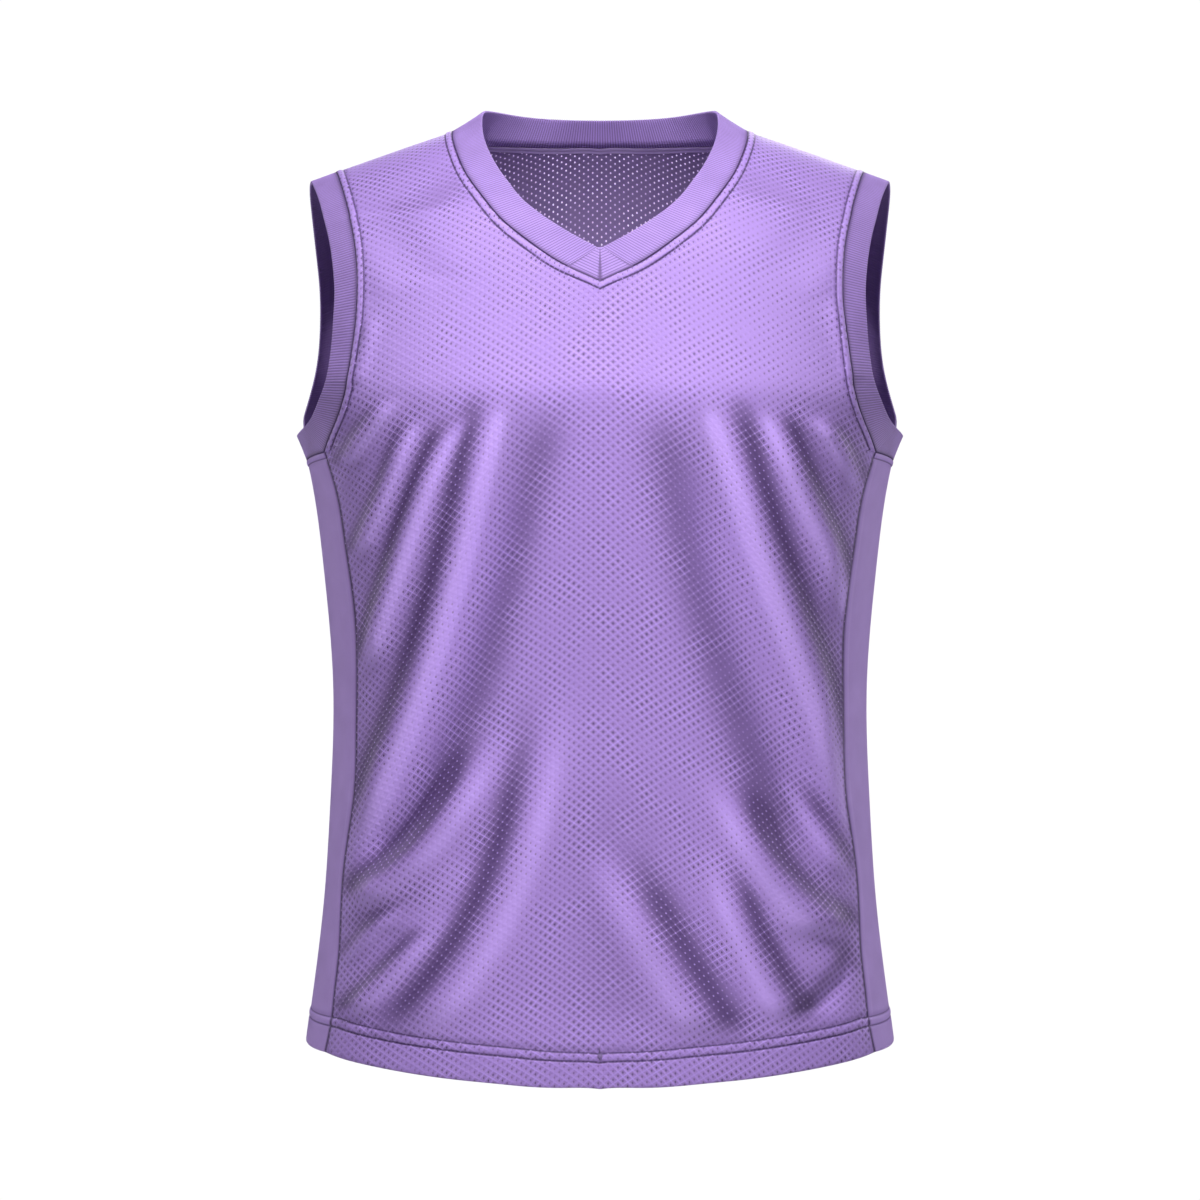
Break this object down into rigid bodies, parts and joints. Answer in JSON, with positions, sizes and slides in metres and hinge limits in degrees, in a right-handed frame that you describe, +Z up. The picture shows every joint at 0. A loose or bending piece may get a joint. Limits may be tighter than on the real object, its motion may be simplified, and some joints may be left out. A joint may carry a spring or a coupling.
{
  "type": "sleeveless mesh sports jersey, worn form with no wearer",
  "caption": "Sleeveless V-neck sports jersey in perforated mesh knit with ribbed collar and armholes, plain side panels and a turned-up hem, filled out as if worn.",
  "frame": {"origin": "middle of the neck, at the height where the shoulder seams meet the collar", "axes": "+Z up, the garment's front faces -Y, the wearer's left is +X"},
  "size_m": [0.4524, 0.2616, 0.7178],
  "materials": {
    "mesh_knit": "perforated polyester mesh with a soft sheen",
    "smooth_knit": "plain polyester knit with a soft sheen",
    "rib_knit": "fine rib knit",
    "tape": "woven tape"
  },
  "bodies": {
    "root": {"front_panel": "mesh_knit", "back_panel": "mesh_knit", "side_panel_left": "smooth_knit", "side_panel_right": "smooth_knit", "collar": "rib_knit", "v_insert_left": "rib_knit", "v_insert_right": "rib_knit", "neck_tape": "tape", "armhole_band_left": "rib_knit", "armhole_band_right": "rib_knit"}
  },
  "joints": []
}
